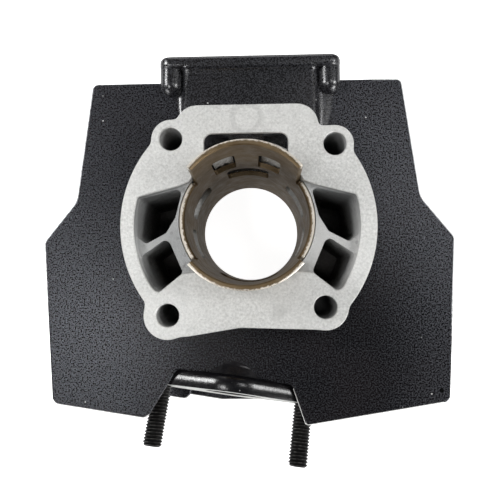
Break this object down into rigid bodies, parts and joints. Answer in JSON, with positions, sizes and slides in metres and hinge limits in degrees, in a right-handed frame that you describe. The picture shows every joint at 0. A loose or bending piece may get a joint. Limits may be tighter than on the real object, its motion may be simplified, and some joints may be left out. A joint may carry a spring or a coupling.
{
  "type": "two-stroke cylinder barrel",
  "caption": "Air-cooled two-stroke engine cylinder: black finned casting with base, intake and exhaust flanges, transfer passages, ported metal liner and threaded exhaust studs.",
  "frame": {"origin": "middle of the outline, on the plane of the head gasket face that the part stands on; the bore axis stands 16.3 mm along +Y from it", "axes": "+Z along the bore, from the head gasket face to the crankcase; +Y towards the intake flange; -Y towards the exhaust"},
  "size_m": [0.1614, 0.1625, 0.09],
  "materials": {
    "casting_aluminium": "satin",
    "liner_iron": "satin",
    "stud_steel": "satin"
  },
  "bodies": {
    "root": {"cylinder_casting": "casting_aluminium", "cylinder_liner": "liner_iron", "exhaust_stud_left": "stud_steel", "exhaust_stud_right": "stud_steel"}
  },
  "joints": []
}
